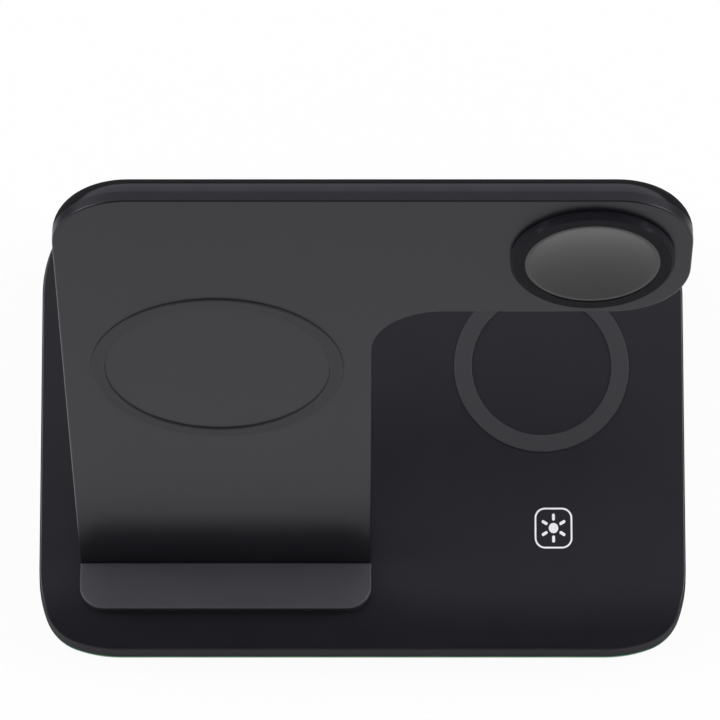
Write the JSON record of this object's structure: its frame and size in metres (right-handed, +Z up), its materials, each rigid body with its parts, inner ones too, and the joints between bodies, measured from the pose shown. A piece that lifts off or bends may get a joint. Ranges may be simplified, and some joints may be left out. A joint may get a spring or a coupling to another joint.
{
  "type": "three in one wireless charger",
  "caption": "Black wireless charging stand: a flat rounded base with an earbud place and a touch key, and a leaning inverted-L stand with a phone ledge and a watch charger on its arm.",
  "frame": {"origin": "middle of the base's footprint on the table", "axes": "+X to the right along the base's long side, +Y to the back, +Z up"},
  "size_m": [0.1484, 0.1014, 0.1495],
  "materials": {
    "black_plastic": "fine satin moulding",
    "cap_plastic": "smooth moulding",
    "soft_silicone": "matt moulded silicone",
    "light_guide": "clear tinted acrylic",
    "steel": "plated sheet and wire",
    "circuit_board": "solder mask",
    "component_black": "moulded cases",
    "copper_winding": "enamelled wire",
    "ferrite": "sintered sheet",
    "foil_foam": "foil-wrapped foam",
    "lead_band": "flat insulated leads"
  },
  "bodies": {
    "root": {"base_top_cover": "black_plastic", "base_bottom_cover": "black_plastic", "stand_body": "black_plastic", "stand_front_plate": "black_plastic", "watch_bezel": "black_plastic", "watch_cap": "cap_plastic", "foot_pads": "soft_silicone", "earbud_pad": "soft_silicone", "phone_ring_pad": "soft_silicone", "ledge_pad": "soft_silicone", "light_ring": "light_guide", "lamps": "light_guide", "base_screws": "steel", "stand_screws": "steel", "ballast_plate": "steel", "stand_bracket": "steel", "usb_c_socket": "steel", "watch_magnet": "steel", "main_board": "circuit_board", "touch_board": "circuit_board", "watch_board": "circuit_board", "led_strip": "circuit_board", "board_components": "component_black", "earbud_coil": "copper_winding", "phone_coil_lower": "copper_winding", "phone_coil_upper": "copper_winding", "watch_coil": "copper_winding", "earbud_ferrite": "ferrite", "phone_ferrite": "ferrite", "watch_ferrite": "ferrite", "touch_electrode": "foil_foam", "stand_leads": "lead_band", "arm_leads": "lead_band", "watch_leads": "lead_band", "earbud_leads": "lead_band", "touch_leads": "lead_band", "light_leads": "lead_band"}
  },
  "joints": []
}
